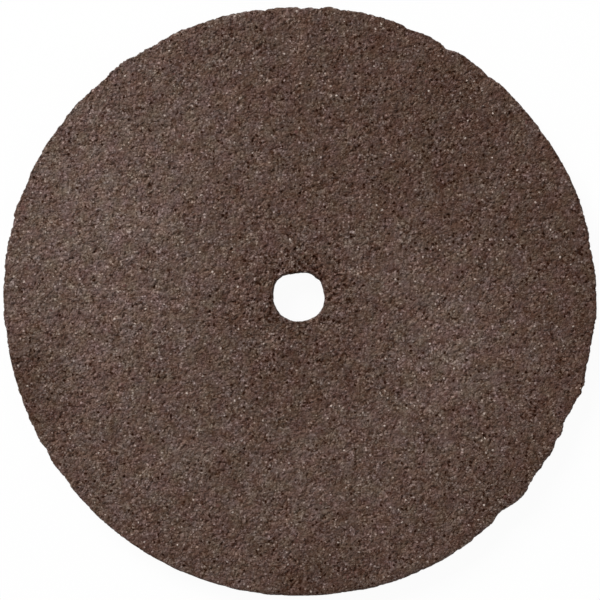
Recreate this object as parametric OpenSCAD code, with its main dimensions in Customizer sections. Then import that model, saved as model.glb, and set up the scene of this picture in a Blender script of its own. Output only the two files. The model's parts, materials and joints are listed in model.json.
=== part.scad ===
// Cut-off wheel for a small rotary tool: a thin disc of bonded abrasive grain, pressed as one piece.
// It lies flat. The origin is on the axis of its bore, at its lower face, and +Z runs up the bore.

/* [Wheel] */
// Diameter of the wheel as pressed, before its rim wore and chipped
wheel_d = 24; // [16:0.5:38]
// Thickness between the two flat faces
wheel_t = 1; // [0.6:0.05:2]
// Radius that rounds the two arrises of the rim
rim_round = 0.18; // [0.05:0.01:0.25]

/* [Arbor bore] */
// Diameter of the bore, which slips over the screw of a mandrel
bore_d = 2.05; // [1.5:0.05:3.5]
// Radius that rounds the two mouths of the bore
mouth_round = 0.2; // [0.05:0.01:0.25]
// Distance of the bore from the middle of the wheel, as it was pressed
bore_offset = 0.17; // [0:0.01:0.5]

/* [Worn rim] */
// Size of one abrasive grain, in which the wear and the chips of the rim are counted
grain = 0.1; // [0.05:0.01:0.15]

/* [Hidden] */
$fn = 96;

wheel_r = wheel_d / 2;
bore_r = bore_d / 2;
// Length by which a cut runs past each face of the wheel
overrun = wheel_t / 2;

// Worn stretches of the rim: the directions in which each begins and ends, in degrees from +X towards +Y,
// and the depth that is lost, in grains
worn_stretches = [
    [28, 33, 0.4], [33, 85, 0.8], [85, 124, 1.1], [129, 137, 0.4], [155, 172, 0.2], [172, 184, 0.5],
    [184, 222, 1.05], [222, 282, 0.9], [282, 306, 0.45], [306, 316, 1.2], [316, 321, 0.3],
    [321, 341, 1.2], [344.5, 353, 0.9], [353, 356, 0.4],
];

// Chips out of the rim: the direction of each, then in grains the width between its two ends and how far
// it hollows in below a straight line between them
rim_chips = [
    [10.5, 9, 0.6],
    [50, 12, 1.4], [53.5, 8, 1.2], [59.5, 8, 2.2], [62, 7, 1.4], [67.5, 11, 1.8], [73, 7, 1.1], [81.5, 8, 1.2],
    [87, 12, 1.5], [89.5, 7, 2.0], [93, 14, 1.4], [97, 14, 1.6],
    [132.3, 4, 1.1], [143, 4, 0.7], [165.5, 7, 0.4], [175.3, 8, 0.8], [181, 6, 0.9], [186, 10, 1.2],
    [199.5, 9, 1.4], [210.5, 12, 1.5], [217, 13, 1.4],
    [313.5, 12, 2.2],
    [324, 13, 1.5], [331.5, 10, 1.8], [336, 11, 2.2],
    [347.5, 10, 1.1],
];

function towards(direction, distance) = distance * [cos(direction), sin(direction)];

// Half section of the wheel, solid at the axis and rounded at the arrises of the rim
module wheel_section() {
    straight_r = wheel_r - rim_round;
    square([straight_r, wheel_t]);
    translate([0, rim_round]) square([wheel_r, wheel_t - 2 * rim_round]);
    for (z = [rim_round, wheel_t - rim_round])
        translate([straight_r, z]) circle(rim_round);
}

// Half section of what the bore takes away, flared where its mouths are rounded
module bore_section() {
    flare_r = bore_r + mouth_round;
    translate([0, -overrun]) square([bore_r, wheel_t + 2 * overrun]);
    for (upper = [0, 1])
        translate([0, upper * wheel_t]) mirror([0, upper]) difference() {
            square([flare_r, mouth_round]);
            translate([flare_r, mouth_round]) circle(mouth_round);
        }
}

// What one worn stretch takes away: all that lies outside a smaller radius, between two directions
module worn_stretch(from, to, depth) {
    difference() {
        polygon([[0, 0], for (direction = [from, (from + to) / 2, to]) towards(direction, wheel_d)]);
        circle(wheel_r - depth);
    }
}

// What one chip takes away: a round bite through both of its ends on the rim and its deepest point
module rim_chip(direction, width, hollow) {
    chord_r = sqrt(pow(wheel_r, 2) - pow(width / 2, 2));
    bite_r = (pow(width / 2, 2) + pow(hollow, 2)) / (2 * hollow);
    translate(towards(direction, chord_r - hollow + bite_r)) circle(bite_r);
}

// All that the rim has lost, seen from above
module rim_losses() {
    for (stretch = worn_stretches)
        worn_stretch(stretch[0], stretch[1], stretch[2] * grain);
    for (chip = rim_chips)
        rim_chip(chip[0], chip[1] * grain, chip[2] * grain);
}

module wheel() {
    color([0.35, 0.28, 0.25])
        difference() {
            translate([0, -bore_offset, 0])
                rotate_extrude() wheel_section();
            rotate_extrude() bore_section();
            translate([0, -bore_offset, -overrun])
                linear_extrude(wheel_t + 2 * overrun) rim_losses();
        }
}

wheel();
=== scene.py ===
"""A worn cut-off wheel of bonded brown grain, lying flat, seen from straight above."""
import json
import math

import bpy
import numpy as np
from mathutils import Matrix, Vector, geometry
from mathutils.bvhtree import BVHTree


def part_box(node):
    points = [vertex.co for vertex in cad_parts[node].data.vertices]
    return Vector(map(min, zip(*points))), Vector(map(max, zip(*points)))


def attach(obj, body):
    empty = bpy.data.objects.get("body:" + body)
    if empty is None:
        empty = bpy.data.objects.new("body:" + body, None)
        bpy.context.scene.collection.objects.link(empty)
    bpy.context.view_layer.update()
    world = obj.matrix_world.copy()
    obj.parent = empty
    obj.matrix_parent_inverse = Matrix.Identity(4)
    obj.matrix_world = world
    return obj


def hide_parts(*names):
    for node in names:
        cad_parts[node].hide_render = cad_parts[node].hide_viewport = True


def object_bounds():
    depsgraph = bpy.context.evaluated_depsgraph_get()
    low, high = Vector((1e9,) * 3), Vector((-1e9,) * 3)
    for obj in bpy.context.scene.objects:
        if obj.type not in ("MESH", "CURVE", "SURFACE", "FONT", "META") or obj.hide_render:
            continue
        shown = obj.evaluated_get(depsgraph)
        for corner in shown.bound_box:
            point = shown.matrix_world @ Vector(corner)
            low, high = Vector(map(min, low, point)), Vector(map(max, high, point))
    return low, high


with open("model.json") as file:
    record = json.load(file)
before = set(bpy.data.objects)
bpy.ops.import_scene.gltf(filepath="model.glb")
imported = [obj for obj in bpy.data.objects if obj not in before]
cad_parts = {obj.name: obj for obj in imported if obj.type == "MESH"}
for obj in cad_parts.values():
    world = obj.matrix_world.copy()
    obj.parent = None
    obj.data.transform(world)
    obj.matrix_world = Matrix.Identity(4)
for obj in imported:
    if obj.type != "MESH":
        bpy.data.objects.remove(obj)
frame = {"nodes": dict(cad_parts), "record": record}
cad_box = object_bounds()

# Lengths are in millimetres, and directions in degrees, up to the making of each object
MM = 0.001
SEED = 7

# Net of the grain on the faces: the distance between its points, and as shares of that how far they stray
# and how far they keep clear of the rim and the bore
GRAIN_SPACING = 0.112
GRAIN_STRAY = 0.38
GRAIN_CLEARANCE = 0.6
# Distance within which two points of a net count as one
NET_TOLERANCE = 1e-7

# Relief of the grain: its greatest depth on the walls and on the faces, and the power that makes most of it
# shallower
WALL_RELIEF = 0.045
FACE_RELIEF = 0.038
RELIEF_POWER = 1.5

# Pits: the share of the points that are pits, that share at the bore and how far out it is raised, and the
# least and the greatest depth of a pit
PIT_SHARE = 0.08
PIT_SHARE_AT_BORE = 0.34
PIT_REACH_AT_BORE = 1.2
PIT_DEPTH = (0.04, 0.08)

# Every hump round the rim or the bore below is a direction, a half width in degrees and a height

# Arrises of the rim: how wide and high they are, and where they rolled off wider
RIM_ROUND = 0.12
RIM_ROLLS = ((105, 12, 0.12), (299, 21, 0.32))
# Net of the rim's wall: its columns, and its rows in each arris and between the arrises
RIM_COLUMNS = 1000
RIM_ARC_ROWS = 4
RIM_WALL_ROWS = 7
# How the rim departs from the CAD outline: the degrees over which it is softened, and how far it stands out
RIM_SOFTENING = 0.6
RIM_SWELL = 0.02
# How ragged the rim is on the whole, and where it is more or less so, as shares of that
RIM_RAGGED = 0.009
RIM_RAGGED_SWAY = ((5, 8, 0.4), (37, 8, -0.5), (140, 22, 0.7), (262, 30, -0.75))
# Bulges and nicks of the rim that are no larger than a few grains
RIM_SWELLS = (
    (9, 2, 0.02), (19, 0.5, 0.04), (35.5, 0.5, 0.04), (45.5, 1, 0.02), (64, 0.7, -0.03),
    (70, 0.7, -0.03), (90, 0.5, 0.04), (113.5, 0.5, 0.06), (115, 1, 0.03), (125, 0.5, -0.07),
    (129, 1, -0.03), (134.5, 0.5, -0.04), (146, 1, -0.03), (154.5, 1, 0.03), (163, 1, 0.06),
    (168, 12, 0.015), (178, 2, 0.02), (203.5, 0.5, -0.03), (224, 1.5, -0.03), (246, 0.7, 0.02),
    (258, 0.8, 0.03), (262, 25, -0.01), (264, 0.8, 0.03), (316, 0.6, -0.06), (326, 0.7, -0.06),
    (334, 0.7, -0.03), (338, 0.8, -0.04), (342, 0.5, -0.03), (358, 0.8, 0.03),
)

# Mouths of the bore: the radius that rounds them
MOUTH_ROUND = 0.12
# Net of the bore's wall, as for the rim's
BORE_COLUMNS = 96
BORE_ARC_ROWS = 5
BORE_WALL_ROWS = 7
# How ragged the bore is, and its bulges and flats
BORE_RAGGED = 0.008
BORE_SWELLS = (
    (13, 5, -0.03), (36, 5, 0.04), (62, 6, 0.015), (101, 14, -0.077),
    (146, 13, 0.057), (268, 13, -0.04), (333, 14, 0.036), (0, 50, -0.02), (180, 50, 0.02),
)
# Columns over which the raggedness of the rim and of the bore is smoothed
RAGGED_SPREAD = 1.2

# Where each surface lies in the map that its finish is baked to: the faces as discs, and the walls as strips
MAP_NAME = "OFBake"
MAP_FACE_RADIUS = 0.27
MAP_UPPER_CENTRE = (0.28, 0.72)
MAP_LOWER_CENTRE = (0.72, 0.28)
MAP_RIM_STRIPS = range(0, 5)
MAP_BORE_STRIPS = range(5, 6)
MAP_STRIP_WIDTH = 0.42
MAP_STRIP_HEIGHT = 0.034
MAP_STRIP_STEP = 0.042
MAP_MARGIN = 0.008

# Tones of the grain in linear colour, from the painted shade of the deepest pore to the palest grain, and the
# tone to start from
GRAIN_TONES = (
    (0.0, (0.021, 0.007, 0.003)),
    (0.25, (0.055, 0.025, 0.0155)),
    (0.5, (0.109, 0.067, 0.0533)),
    (0.75, (0.215, 0.155, 0.138)),
    (1.0, (0.42, 0.33, 0.306)),
)
BASE_TONE = 0.519

# Rates below say how many there are to a millimetre, and reaches how far one goes, in cells of its pattern

# Grains, specks, blotches and patches, and how far each sways the tone
GRAIN_RATE = 10
GRAIN_SWAY = 0.23
SPECK_RATE = 17
SPECK_SWAY = 0.3
BLOTCH_RATE = 2.5
BLOTCH_SWAY = 0.23
PATCH_RATE = 0.5
PATCH_SWAY = 0.1
# How finely blotches, patches and casts are broken up, and how finely clumps and strays are
DRIFT_DETAIL = 2.0
CLUMP_DETAIL = 1.0

# How far grains and pores stray, so that their outlines are ragged
STRAY_RATE = 14
STRAY = 0.085

# Clumps of less and of more contrast: the span of noise that they take, and the contrast at its two ends
CLUMP_RATE = 2.2
CLUMP_SPREAD = (0.3, 0.7)
CLUMP_SWAY = (0.55, 1.45)
# The contrast is stronger round the bore: the middle of that area, its half width and by how much
BORE_CLUMP = ((0, 0.1), 1.5, 0.4)

# Pores: the share of their cells that is open, how far paler worn areas and painted light lower it, and how
# far painted shade darkens them
PORE_RATE = 5.8
PORE_SHARE = 0.12
PORE_SPARED = 0.9
PORE_REACH = (0.26, 0.38)
PORE_PAINTED_SHADE = 0.5
# Wider pores round the bore, darkened by the same painted shade: the middle of their area, its half width and
# the share that is open there
HOLE_RATE = 5
BORE_HOLES = ((0.05, 0.25), 0.85, 0.5)

# Pits of the mesh: the span of depths over which painted shade darkens their cores, and how far that painted
# shade darkens the tone
PIT_CORE = (0.45, 0.85)
PIT_PAINTED_SHADE = 0.24

# Clear grains: their share of the grains, and how far they lighten the tone
CLEAR_SHARE = 0.14
CLEAR_REACH = (0.34, 0.48)
CLEAR_LIFT = 0.28
# The clearest of them get painted glints: a pale colour mixed into theirs
PAINTED_GLINT_SHARE = 0.017
PAINTED_GLINT = (0.6, 0.5, 0.44)

# A few grains are reddish, and so is a large one in the rim: its place, its half width and how red it is
RED_SHARE = 0.0012
RED_GRAIN = (0.125, 0.064, 0.053)
RED_RIM_GRAIN = ((-11.15, 3.6), 0.09, 1)

# Two drifts of colour, each from one cast to another as shares of the tone, and the span of noise they take
CAST_RATE = 1.6
CAST_SPREAD = (0.35, 0.65)
RED_TO_GREEN = ((1.0, 0.91, 0.9), (0.965, 0.995, 0.97))
WARM_TO_COOL = ((1.0, 1.0, 0.9), (0.965, 0.965, 1.0))

# Edges: the power that draws them in to the walls, how far they are lighter, and how much colour they lose
EDGE_POWER = 4.0
EDGE_LIFT = 0.05
EDGE_GREYING = 0.2

# Gloss, and the relief of grains and specks that is too fine for the mesh
GRAIN_ROUGHNESS = 0.8
CLEAR_ROUGHNESS = 0.35
SHINE = 0.03
COARSE_RELIEF = 0.045
FINE_RELIEF = 0.025

# Areas of the faces that are paler or darker, partly worn and partly painted light and shade: painted light
# towards the left, painted shade towards the right and along the bottom of the rim. Each is given by its
# middle, its half width and by how much of the tone
WEAR_AND_PAINTED_LIGHT_AREAS = (
    ((-8.0, 3.0), 4.0, 0.1),
    ((-7.0, -5.0), 2.5, 0.04),
    ((-11.6, -3.7), 1.4, -0.13),
    ((-1.2, 1.0), 3.0, -0.03),
    ((6.0, 8.0), 4.0, -0.065),
    ((12.3, 2.5), 2.0, -0.06),
    ((12.3, -2.8), 2.2, -0.08),
    ((5.8, -2.2), 2.4, 0.07),
    ((1.5, -2.8), 2.2, -0.05),
    ((1.5, -7.0), 3.0, 0.03),
    ((8.5, -8.0), 2.0, -0.06),
    ((0.6, -12.4), 1.5, -0.1),
    ((4.0, -11.2), 1.3, -0.06),
    ((0.1, 0.5), 0.65, -0.06),
    ((3.4, 1.4), 1.2, 0.04),
)

# The floor: how far below the wheel it lies, how wide it is, and the share of its white that is a glow
FLOOR_DROP = 0.01
FLOOR_SIDE = 900
FLOOR_GLOW = 0.95
FLOOR_COLOUR = (0.96, 0.96, 0.96)

# Light as shares of plain light at the middle of the wheel: from all round, and from each lamp, which is
# given by its name, place, width and share
ROOM_SHARE = 0.31
LAMPS = (
    ("key", (-150, 179, 156), 140, 0.63),
    ("fill", (45, -14, 40), 34, 0.06),
)

# What the photograph's frame shows: its width, and the circle that fits the rim best, in pixels
PHOTO_PIXELS = 600
PHOTO_RIM_CENTRE = (298.8, 300.3)
PHOTO_RIM_RADIUS = 295.1
# The camera: its lens, its sensor and the nearest and farthest that it sees
CAMERA_LENS = 90
CAMERA_SENSOR = 36
CAMERA_NEAR = 1
CAMERA_FAR = 10000


def directions_of(count):
    """Even directions round a circle."""
    return np.arange(count) * 360 / count


def polar(radius, degrees):
    """Points in the plane, from their radii and directions."""
    angle = np.radians(degrees)
    return np.stack([radius * np.cos(angle), radius * np.sin(angle)], -1)


def round_axis(points):
    """Directions and radii of points in the plane."""
    x, y = points.T
    return np.degrees(np.arctan2(y, x)), np.hypot(x, y)


def circle_through(points):
    """Centre and radius of the circle that fits points in the plane best."""
    sides = np.c_[2 * points, np.ones(len(points))]
    x, y, rest = np.linalg.lstsq(sides, (points**2).sum(1), rcond=None)[0]
    return np.array([x, y]), math.sqrt(rest + x * x + y * y)


def swells(degrees, humps):
    """Sum of smooth humps round a circle, each given by its direction, half width and height."""
    total = np.zeros(len(degrees))
    for direction, half_width, height in humps:
        offset = (degrees - direction + 180) % 360 - 180
        total += height * np.exp(-0.5 * (offset / half_width) ** 2)
    return total


def blurred_loop(values, spread):
    """Values round a closed loop, blurred by a bell that is spread steps wide."""
    count = len(values)
    step = np.minimum(np.arange(count), count - np.arange(count))
    weight = np.exp(-0.5 * (step / spread) ** 2)
    return np.fft.irfft(np.fft.rfft(values) * np.fft.rfft(weight / weight.sum()), count)


def ragged_loop(rng, count, size):
    """Random values round a closed loop, with a mean of nought and a given deviation."""
    values = blurred_loop(rng.normal(size=count), RAGGED_SPREAD)
    return size * (values - values.mean()) / values.std()


def rim_of(node, degrees):
    """Distance from the axis to the wall of a CAD node at half its height, in each direction."""
    corners = [v.co.copy() for v in node.data.vertices]
    tree = BVHTree.FromPolygons(corners, [tuple(p.vertices) for p in node.data.polygons])
    low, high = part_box(node.name)
    start = (high - low).length
    middle = Vector((0, 0, (low.z + high.z) / 2))
    found = []
    for angle in np.radians(degrees):
        outward = Vector((math.cos(angle), math.sin(angle), 0))
        hit = tree.ray_cast(middle + start * outward, -outward)[0]
        found.append((hit - middle).length / MM)
    return np.array(found)


def wall_section(height, rounding, arc_rows, wall_rows):
    """Setback of each row down a wall, as a share of its arris's width, with the row's height and slant."""
    turn = np.linspace(0, math.pi / 2, arc_rows + 1)
    setback = 1 - np.sin(turn)
    drop = rounding * (1 - np.cos(turn))
    wall = np.linspace(height - rounding, rounding, wall_rows + 1)[1:-1]
    setbacks = np.concatenate([setback, np.zeros(len(wall)), setback[::-1]])
    heights = np.concatenate([height - drop, wall, drop[::-1]])
    slants = np.concatenate([turn, np.full(len(wall), math.pi / 2), math.pi - turn[::-1]])
    return setbacks, heights, slants


def rim_outline(rng, degrees, radii):
    """Directions of the rim's columns, with the radius, the coarseness and the arris's width of each."""
    coarseness = 1 + swells(degrees, RIM_RAGGED_SWAY)
    ragged = coarseness * ragged_loop(rng, RIM_COLUMNS, RIM_RAGGED)
    softened = blurred_loop(radii, RIM_SOFTENING * RIM_COLUMNS / 360)
    uneven = softened + RIM_SWELL + ragged + swells(degrees, RIM_SWELLS)
    return degrees, uneven, coarseness, RIM_ROUND + swells(degrees, RIM_ROLLS)


def bore_outline(rng, radius):
    """The same for the bore, which is as coarse and as rounded all the way round."""
    degrees = directions_of(BORE_COLUMNS)
    uneven = radius + ragged_loop(rng, BORE_COLUMNS, BORE_RAGGED) + swells(degrees, BORE_SWELLS)
    return degrees, uneven, np.ones(BORE_COLUMNS), np.full(BORE_COLUMNS, MOUTH_ROUND)


def band_net(rows, columns):
    """Corners of the triangles of a closed band, each as a row and a column, seen from outside."""
    row, column = np.meshgrid(np.arange(rows - 1), np.arange(columns), indexing="ij")
    row, column = row.ravel(), column.ravel()
    a, b = np.c_[row, column], np.c_[row, column + 1]
    c, d = np.c_[row + 1, column], np.c_[row + 1, column + 1]
    leaning = ((row + column) % 2 == 0)[:, None, None]
    first = np.where(leaning, np.stack([a, c, d], 1), np.stack([a, c, b], 1))
    second = np.where(leaning, np.stack([a, d, b], 1), np.stack([b, c, d], 1))
    return np.concatenate([first, second])


def strip_map(corners, rows, columns, strips):
    """Places in the map for the corners of a band, which is cut into strips one above the other."""
    length = columns / len(strips)
    strip = np.floor(corners[:, :, 1].min(1) / length)
    u = (corners[:, :, 1] - (strip * length)[:, None]) / length
    v = corners[:, :, 0] / (rows - 1)
    foot = MAP_MARGIN + (strips[0] + strip)[:, None] * MAP_STRIP_STEP
    return np.stack([MAP_MARGIN + MAP_STRIP_WIDTH * u, foot + MAP_STRIP_HEIGHT * v], -1)


def grain_points(rng, rim, bore):
    """Uneven points over a face, between two loops that are given as directions and radii."""
    step = GRAIN_SPACING
    reach = rim[1].max()
    across = np.arange(-reach, reach, step)
    up = np.arange(-reach, reach, step * math.sqrt(3) / 2)
    x, y = np.meshgrid(across, up)
    x = x + (np.arange(len(up)) % 2)[:, None] * step / 2
    x = x + rng.uniform(-1, 1, x.shape) * GRAIN_STRAY * step
    y = y + rng.uniform(-1, 1, y.shape) * GRAIN_STRAY * step
    points = np.c_[x.ravel(), y.ravel()]
    degrees, radius = round_axis(points)
    outer = np.interp(degrees, *rim, period=360)
    inner = np.interp(degrees, *bore, period=360)
    margin = np.minimum(outer - radius, radius - inner)
    return points[margin > GRAIN_CLEARANCE * step]


def grain_depth(rng, radius):
    """Depth of grain points below their face, and how much of a pit each is, from 0 to 1."""
    count = len(radius)
    depth = FACE_RELIEF * rng.uniform(size=count) ** RELIEF_POWER
    near = np.clip(1 - (radius - radius.min()) / PIT_REACH_AT_BORE, 0, 1)
    share = PIT_SHARE + (PIT_SHARE_AT_BORE - PIT_SHARE) * near
    pits = rng.uniform(size=count) < share
    pit_depth = rng.uniform(*PIT_DEPTH, size=count)
    depth = np.where(pits, pit_depth, depth)
    return depth, np.where(pits, pit_depth / PIT_DEPTH[1], 0.0)


def face_net(outer, inner, points):
    """Triangles over points between two loops, as numbers into all three lists in turn, seen from above."""
    places = np.vstack([outer, inner, points])
    corners = [Vector(place) for place in places]
    loops = [list(range(len(outer))), list(range(len(outer), len(outer) + len(inner)))]
    within_loops = 1
    made = geometry.delaunay_2d_cdt(corners, [], loops, within_loops, NET_TOLERANCE)
    _, _, triangles, origins, _, owners = made
    # A triangle that lies in the outer loop alone is between the two
    between = [triangle for triangle, owner in zip(triangles, owners) if owner == [0]]
    source = np.array([numbers[0] for numbers in origins])
    faces = source[np.array(between)]
    a, b, c = (places[faces[:, k]] for k in range(3))
    turn = (b[:, 0] - a[:, 0]) * (c[:, 1] - a[:, 1]) - (b[:, 1] - a[:, 1]) * (c[:, 0] - a[:, 0])
    return np.where((turn < 0)[:, None], faces[:, ::-1], faces)


class Surface:
    """Gathers the vertices, triangles and map of one closed mesh, in millimetres.

    Each vertex has two marks: how much of a pit it is, and its edge, 1 on a wall and 0 on a face."""

    def __init__(self):
        self.places = []
        self.marks = {"pit": [], "edge": []}
        self.faces = []
        self.map = []
        self.count = 0

    def add_points(self, places, **marks):
        """Adds vertices, and returns the number of the first."""
        first = self.count
        self.places.append(places)
        for name, values in marks.items():
            self.marks[name].append(values)
        self.count += len(places)
        return first

    def add_faces(self, faces, map_places):
        """Adds triangles, and the places of their corners in the map."""
        self.faces.append(faces)
        self.map.append(map_places)

    def make(self, name):
        """Makes the object, held within the CAD model's box."""
        places = np.concatenate(self.places) * MM
        low, high = (np.array(corner) for corner in cad_box)
        faces = np.concatenate(self.faces)
        mesh = bpy.data.meshes.new(name)
        mesh.from_pydata(np.clip(places, low, high).tolist(), [], faces.tolist())
        layer = mesh.uv_layers.new(name=MAP_NAME)
        layer.data.foreach_set("uv", np.concatenate(self.map).astype(np.float32).ravel())
        for mark, values in self.marks.items():
            layer = mesh.attributes.new(mark, "FLOAT", "POINT")
            layer.data.foreach_set("value", np.concatenate(values).astype(np.float32))
        mesh.update()
        made = bpy.data.objects.new(name, mesh)
        bpy.context.scene.collection.objects.link(made)
        return made


def add_band(surface, rng, outline, section, outward, strips):
    """Adds the wall of the rim or the bore, and returns the numbers of its two end loops."""
    degrees, radii, coarseness, widths = outline
    setbacks, heights, slants = section
    rows, columns = len(heights), len(degrees)
    grain = WALL_RELIEF * rng.uniform(size=(rows, columns)) ** RELIEF_POWER
    pits = rng.uniform(size=(rows, columns)) < PIT_SHARE
    pits[[0, -1]] = False
    pit_depth = rng.uniform(*PIT_DEPTH, size=(rows, columns))
    depth = np.where(pits, pit_depth, grain) * coarseness
    inset = np.outer(setbacks, widths) + depth * np.sin(slants)[:, None]
    plane = polar(radii - outward * inset, degrees)
    height = heights[:, None] - depth * np.cos(slants)[:, None]
    places = np.concatenate([plane, height[..., None]], -1).reshape(-1, 3)
    pit = (pits * pit_depth / PIT_DEPTH[1]).ravel()
    edge = np.repeat(1 - setbacks, columns)
    first = surface.add_points(places, pit=pit, edge=edge)
    corners = band_net(rows, columns)
    faces = first + corners[:, :, 0] * columns + corners[:, :, 1] % columns
    map_places = strip_map(corners, rows, columns, strips)
    if outward < 0:
        faces, map_places = faces[:, ::-1], map_places[:, ::-1]
    surface.add_faces(faces, map_places)
    upper = first + np.arange(columns)
    return upper, upper + (rows - 1) * columns


def add_face(surface, rng, loops, upward, level, map_centre):
    """Adds the grainy face between an outer and an inner loop of vertices that are there already."""
    known = np.concatenate(surface.places)
    outer, inner = (known[loop, :2] for loop in loops)
    points = grain_points(rng, round_axis(outer), round_axis(inner))
    _, radius = round_axis(points)
    depth, pit = grain_depth(rng, radius)
    places = np.c_[points, level - upward * depth]
    first = surface.add_points(places, pit=pit, edge=np.zeros(len(points)))
    numbers = np.concatenate([*loops, first + np.arange(len(points))])
    net = face_net(outer, inner, points)
    if upward < 0:
        net = net[:, ::-1]
    flat = np.vstack([outer, inner, points])
    _, reach = round_axis(flat)
    map_places = np.array(map_centre) + MAP_FACE_RADIUS / reach.max() * flat
    surface.add_faces(numbers[net], map_places[net])


def make_wheel(rng, degrees, radii):
    """The wheel as one closed mesh: its rim, its bore and its two faces."""
    low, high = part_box("wheel")
    height = (high.z - low.z) / MM
    mount = next(m for m in frame["record"]["mounts"] if m["name"] == "arbor_bore")
    rim = rim_outline(rng, degrees, radii)
    bore = bore_outline(rng, mount["dims"]["r_mm"])
    rim_rows = wall_section(height, RIM_ROUND, RIM_ARC_ROWS, RIM_WALL_ROWS)
    bore_rows = wall_section(height, MOUTH_ROUND, BORE_ARC_ROWS, BORE_WALL_ROWS)

    surface = Surface()
    rim_loops = add_band(surface, rng, rim, rim_rows, 1, MAP_RIM_STRIPS)
    bore_loops = add_band(surface, rng, bore, bore_rows, -1, MAP_BORE_STRIPS)
    upper, lower = zip(rim_loops, bore_loops)
    add_face(surface, rng, upper, 1, height, MAP_UPPER_CENTRE)
    add_face(surface, rng, lower, -1, 0, MAP_LOWER_CENTRE)
    return surface.make("abrasive_wheel")


def empty_tree(owner):
    """The node tree of a material or a world, with nothing in it."""
    owner.use_nodes = True
    owner.node_tree.nodes.clear()
    return owner.node_tree


def add_node(tree, kind, inputs=None, **settings):
    """Adds a shader node, sets its properties, and sets or links its inputs."""
    node = tree.nodes.new("ShaderNode" + kind)
    for name, value in settings.items():
        setattr(node, name, value)
    for name, value in (inputs or {}).items():
        if isinstance(value, bpy.types.NodeSocket):
            tree.links.new(value, node.inputs[name])
        else:
            node.inputs[name].default_value = value
    return node


def maths(tree, operation, first, second=0.0):
    """One sum on two numbers or sockets."""
    return add_node(tree, "Math", {0: first, 1: second}, operation=operation).outputs[0]


def vector_maths(tree, operation, *inputs):
    """One sum on vectors or their sockets."""
    return add_node(tree, "VectorMath", dict(enumerate(inputs)), operation=operation).outputs[0]


def mapped(tree, value, source, target, **settings):
    """A value carried over from one range to another, and held within it."""
    inputs = {"Value": value, "From Min": source[0], "From Max": source[1]}
    inputs.update({"To Min": target[0], "To Max": target[1]})
    return add_node(tree, "MapRange", inputs, **settings).outputs[0]


def blended(tree, amount, colour, other):
    """A colour that turns to another by an amount from 0 to 1."""
    inputs = {"Factor": amount, "A": colour, "B": other}
    return add_node(tree, "Mix", inputs, data_type="VECTOR").outputs["Result"]


def swayed(tree, value, sway):
    """A value from 0 to 1 as a sway to both sides of nought."""
    return maths(tree, "MULTIPLY", maths(tree, "SUBTRACT", value, 0.5), sway)


def ramp(tree, value, stops):
    """Colour for a value from 0 to 1, by stops of place and colour."""
    node = add_node(tree, "ValToRGB", {0: value})
    elements = node.color_ramp.elements
    while len(elements) < len(stops):
        elements.new(0.5)
    for element, (place, colour) in zip(elements, stops):
        element.position = place
        element.color = (*colour, 1)
    return node.outputs[0]


def bumped(tree, height, relief, **inputs):
    """A normal that is tilted where a height changes, by a relief in millimetres."""
    inputs = {"Height": height, "Strength": 1.0, "Distance": relief * MM, **inputs}
    return add_node(tree, "Bump", inputs, invert=True).outputs[0]


def noise(tree, place, rate, detail):
    """Smooth noise from 0 to 1, as a value and as a colour of three values."""
    outputs = add_node(tree, "TexNoise", {"Vector": place, "Scale": rate, "Detail": detail}).outputs
    return outputs[0], outputs["Color"]


def cells(tree, place, rate, **settings):
    """Packed cells: the distance from the middle of each, and three random values that it has throughout."""
    outputs = add_node(tree, "TexVoronoi", {"Vector": place, "Scale": rate}, **settings).outputs
    return outputs["Distance"], add_node(tree, "SeparateColor", {0: outputs["Color"]}).outputs


def soft_area(tree, place, centre, half_width, height):
    """A value that falls off softly from a height in the middle of a round area of the faces to nought."""
    away = vector_maths(tree, "SUBTRACT", place, (*centre, 0))
    level = vector_maths(tree, "MULTIPLY", away, (1, 1, 0))
    distance = add_node(tree, "VectorMath", {0: level}, operation="LENGTH").outputs["Value"]
    share = maths(tree, "DIVIDE", distance, half_width * math.sqrt(2))
    fall = maths(tree, "MULTIPLY", maths(tree, "MULTIPLY", share, share), -1)
    return maths(tree, "MULTIPLY", maths(tree, "EXPONENT", fall), height)


def strayed(tree, place):
    """Places that stray a little, so that what is drawn by them has ragged outlines."""
    _, colour = noise(tree, place, STRAY_RATE, CLUMP_DETAIL)
    stray = vector_maths(tree, "MULTIPLY_ADD", colour, (STRAY,) * 3, (-STRAY / 2,) * 3)
    return vector_maths(tree, "ADD", place, stray)


def pores(tree, place, rate, share, **settings):
    """1 in small pores between the grains and 0 elsewhere, by their rate and the share that is open."""
    distance, chances = cells(tree, place, rate, **settings)
    dot = mapped(tree, distance, PORE_REACH, (1, 0))
    return maths(tree, "MULTIPLY", dot, maths(tree, "LESS_THAN", chances[0], share))


def open_pores(tree, place, ragged, contrast, wear_and_painted_light, flat):
    """The pores of all the wheel, where painted shade goes, which paler worn areas and painted light spare,
    together with the wider ones round the bore.
    """
    share = maths(tree, "MULTIPLY", contrast, PORE_SHARE)
    share = maths(tree, "SUBTRACT", share, maths(tree, "MULTIPLY", wear_and_painted_light, PORE_SPARED))
    pore = pores(tree, ragged, PORE_RATE, share)
    share = maths(tree, "MULTIPLY", soft_area(tree, place, *BORE_HOLES), flat)
    hole = pores(tree, ragged, HOLE_RATE, share, voronoi_dimensions="2D")
    return maths(tree, "MAXIMUM", pore, hole)


def grain_contrast(tree, place):
    """Contrast of the grain, which clumps and is stronger round the bore."""
    clump, _ = noise(tree, place, CLUMP_RATE, CLUMP_DETAIL)
    contrast = mapped(tree, clump, CLUMP_SPREAD, CLUMP_SWAY)
    return maths(tree, "ADD", contrast, soft_area(tree, place, *BORE_CLUMP))


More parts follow.
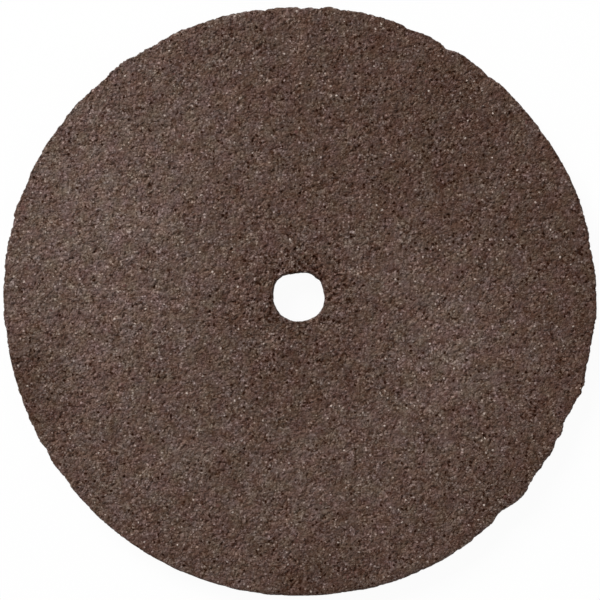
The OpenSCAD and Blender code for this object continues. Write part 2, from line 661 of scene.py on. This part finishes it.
def wear_and_painted_light_of_faces(tree, place, flat):
    """How much paler or darker the faces are, partly worn and partly painted light and shade."""
    wear_and_painted_light = 0.0
    for area in WEAR_AND_PAINTED_LIGHT_AREAS:
        wear_and_painted_light = maths(tree, "ADD", wear_and_painted_light, soft_area(tree, place, *area))
    return maths(tree, "MULTIPLY", wear_and_painted_light, flat)


def drifting(tree, place, colour):
    """A colour with the two drifts from cast to cast over it."""
    _, drift = noise(tree, place, CAST_RATE, DRIFT_DETAIL)
    drifts = add_node(tree, "SeparateColor", {0: drift}).outputs
    for value, casts in zip(drifts, (RED_TO_GREEN, WARM_TO_COOL)):
        cast = ramp(tree, value, tuple(zip(CAST_SPREAD, casts)))
        colour = vector_maths(tree, "MULTIPLY", colour, cast)
    return colour


def bonded_grain():
    """The wheel's finish: packed brown grains of many tones, with pores and pits darkened by painted shade, a
    few clear or red ones, painted glints on the clearest, and painted light and shade in its paler and darker
    areas.
    """
    material = bpy.data.materials.new("bonded_grain")
    tree = empty_tree(material)
    own = add_node(tree, "TexCoord").outputs["Object"]
    place = add_node(tree, "VectorMath", {0: own, "Scale": 1 / MM}, operation="SCALE").outputs[0]
    ragged = strayed(tree, place)
    grain_distance, grain_chances = cells(tree, ragged, GRAIN_RATE)
    speck_distance, speck_chances = cells(tree, place, SPECK_RATE)
    contrast = grain_contrast(tree, place)

    # Where the marks of the mesh, the worn areas with their painted light and shade, the pores and the
    # unusual grains lie
    pit = add_node(tree, "Attribute", attribute_name="pit").outputs["Fac"]
    pit_painted_shade = mapped(tree, pit, PIT_CORE, (0, 1), interpolation_type="SMOOTHSTEP")
    edge = add_node(tree, "Attribute", attribute_name="edge").outputs["Fac"]
    brink = maths(tree, "POWER", edge, EDGE_POWER)
    flat = maths(tree, "SUBTRACT", 1.0, brink)
    wear_and_painted_light = wear_and_painted_light_of_faces(tree, place, flat)
    pore = open_pores(tree, place, ragged, contrast, wear_and_painted_light, flat)
    middle = mapped(tree, grain_distance, CLEAR_REACH, (1, 0))
    clear = maths(tree, "MULTIPLY", maths(tree, "LESS_THAN", grain_chances[1], CLEAR_SHARE), middle)
    rarity = mapped(tree, grain_chances[1], (0, PAINTED_GLINT_SHARE), (1, 0))
    painted_glint = maths(tree, "MULTIPLY", maths(tree, "MULTIPLY", rarity, rarity), middle)
    red = maths(tree, "LESS_THAN", grain_chances[2], RED_SHARE)
    red = maths(tree, "MAXIMUM", red, soft_area(tree, place, *RED_RIM_GRAIN))

    # The tone, and the colour that it has
    fine = swayed(tree, grain_chances[0], GRAIN_SWAY)
    fine = maths(tree, "ADD", fine, swayed(tree, speck_chances[0], SPECK_SWAY))
    tone = maths(tree, "ADD", BASE_TONE, maths(tree, "MULTIPLY", fine, contrast))
    for rate, sway in ((BLOTCH_RATE, BLOTCH_SWAY), (PATCH_RATE, PATCH_SWAY)):
        value, _ = noise(tree, place, rate, DRIFT_DETAIL)
        tone = maths(tree, "ADD", tone, swayed(tree, value, sway))
    # Painted shade darkens the cores of the pits and the pores, and clear grains and edges are paler
    changes = ((pit_painted_shade, -PIT_PAINTED_SHADE), (pore, -PORE_PAINTED_SHADE), (clear, CLEAR_LIFT), (brink, EDGE_LIFT))
    for mark, change in changes:
        tone = maths(tree, "ADD", tone, maths(tree, "MULTIPLY", mark, change))
    # The paler and darker areas of the faces, partly worn and partly painted light and shade
    tone = maths(tree, "ADD", tone, wear_and_painted_light)
    colour = drifting(tree, place, ramp(tree, tone, GRAIN_TONES))
    # Reddish grains, and painted glints on the clearest grains
    for amount, other in ((red, RED_GRAIN), (painted_glint, PAINTED_GLINT)):
        colour = blended(tree, amount, colour, other)
    kept = mapped(tree, brink, (0, 1), (1, 1 - EDGE_GREYING))
    colour = add_node(tree, "HueSaturation", {"Color": colour, "Saturation": kept}).outputs[0]

    # The gloss and the fine relief
    roughness = mapped(tree, clear, (0, 1), (GRAIN_ROUGHNESS, CLEAR_ROUGHNESS))
    coarse = bumped(tree, grain_distance, COARSE_RELIEF)
    bump = bumped(tree, speck_distance, FINE_RELIEF, Normal=coarse)
    shader = add_node(tree, "BsdfPrincipled", {
        "Base Color": colour, "Roughness": roughness, "Normal": bump, "Specular IOR Level": SHINE,
    })
    add_node(tree, "OutputMaterial", {"Surface": shader.outputs[0]})
    return material


def white_to_view(tree):
    """1 for a ray that is seen, also in a reflection or through glass, and 0 for one that only lights."""
    path = add_node(tree, "LightPath").outputs
    seen = maths(tree, "MAXIMUM", path["Is Camera Ray"], path["Is Glossy Ray"])
    return maths(tree, "MAXIMUM", seen, path["Is Transmission Ray"])


def make_floor():
    """A pale floor that looks white and still takes the wheel's shadow."""
    low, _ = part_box("wheel")
    half = FLOOR_SIDE / 2 * MM
    level = low.z - FLOOR_DROP * MM
    corners = [(-half, -half, level), (half, -half, level), (half, half, level), (-half, half, level)]
    mesh = bpy.data.meshes.new("floor")
    mesh.from_pydata(corners, [], [(0, 1, 2, 3)])
    floor = bpy.data.objects.new("floor", mesh)
    bpy.context.scene.collection.objects.link(floor)
    material = bpy.data.materials.new("pale_floor")
    tree = empty_tree(material)
    glow = maths(tree, "MULTIPLY", white_to_view(tree), FLOOR_GLOW)
    plain = add_node(tree, "BsdfDiffuse", {"Color": (*FLOOR_COLOUR, 1)})
    white = add_node(tree, "Emission", {"Strength": 1.0})
    mixed = add_node(tree, "MixShader", {0: glow, 1: plain.outputs[0], 2: white.outputs[0]})
    add_node(tree, "OutputMaterial", {"Surface": mixed.outputs[0]})
    floor.data.materials.append(material)
    return floor


def make_room():
    """White surroundings that light the wheel evenly from all round."""
    world = bpy.data.worlds.new("room")
    bpy.context.scene.world = world
    tree = empty_tree(world)
    strength = mapped(tree, white_to_view(tree), (0, 1), (ROOM_SHARE, 1))
    light = add_node(tree, "Background", {"Color": (1, 1, 1, 1), "Strength": strength})
    add_node(tree, "OutputWorld", {"Surface": light.outputs[0]})


def make_lamp(name, place, width, share):
    """A square soft lamp aimed at the wheel, as strong as its share of plain light there asks."""
    away = Vector(place) * MM
    lamp = bpy.data.lights.new(name, "AREA")
    lamp.shape = "SQUARE"
    lamp.size = width * MM
    slant = away.z / away.length
    lamp.energy = share * math.pi**2 * away.length_squared / slant
    made = bpy.data.objects.new(name, lamp)
    made.location = away
    made.rotation_euler = away.to_track_quat("Z", "Y").to_euler()
    bpy.context.scene.collection.objects.link(made)


def make_camera(points):
    """A camera straight above, framed so that the rim lies where the photograph has it."""
    centre, radius = circle_through(points)
    pixel = radius / PHOTO_RIM_RADIUS
    middle = (PHOTO_PIXELS - 1) / 2
    x = centre[0] + (middle - PHOTO_RIM_CENTRE[0]) * pixel
    y = centre[1] - (middle - PHOTO_RIM_CENTRE[1]) * pixel
    data = bpy.data.cameras.new("camera")
    data.lens = CAMERA_LENS
    data.sensor_width = CAMERA_SENSOR
    data.clip_start = CAMERA_NEAR * MM
    data.clip_end = CAMERA_FAR * MM
    camera = bpy.data.objects.new("camera", data)
    _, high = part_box("wheel")
    # The rim is widest at the foot of its upper arris, so the distance is taken from there
    distance = PHOTO_PIXELS * pixel * CAMERA_LENS / CAMERA_SENSOR
    camera.location = (x * MM, y * MM, high.z + (distance - RIM_ROUND) * MM)
    bpy.context.scene.collection.objects.link(camera)
    bpy.context.scene.camera = camera


degrees = directions_of(RIM_COLUMNS)
radii = rim_of(frame["nodes"]["wheel"], degrees)
wheel = make_wheel(np.random.default_rng(SEED), degrees, radii)
wheel.data.materials.append(bonded_grain())
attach(wheel, "root")
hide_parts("wheel")

make_floor()
make_room()
for lamp in LAMPS:
    make_lamp(*lamp)
make_camera(polar(radii, degrees))
bpy.context.scene.view_settings.view_transform = "Standard"
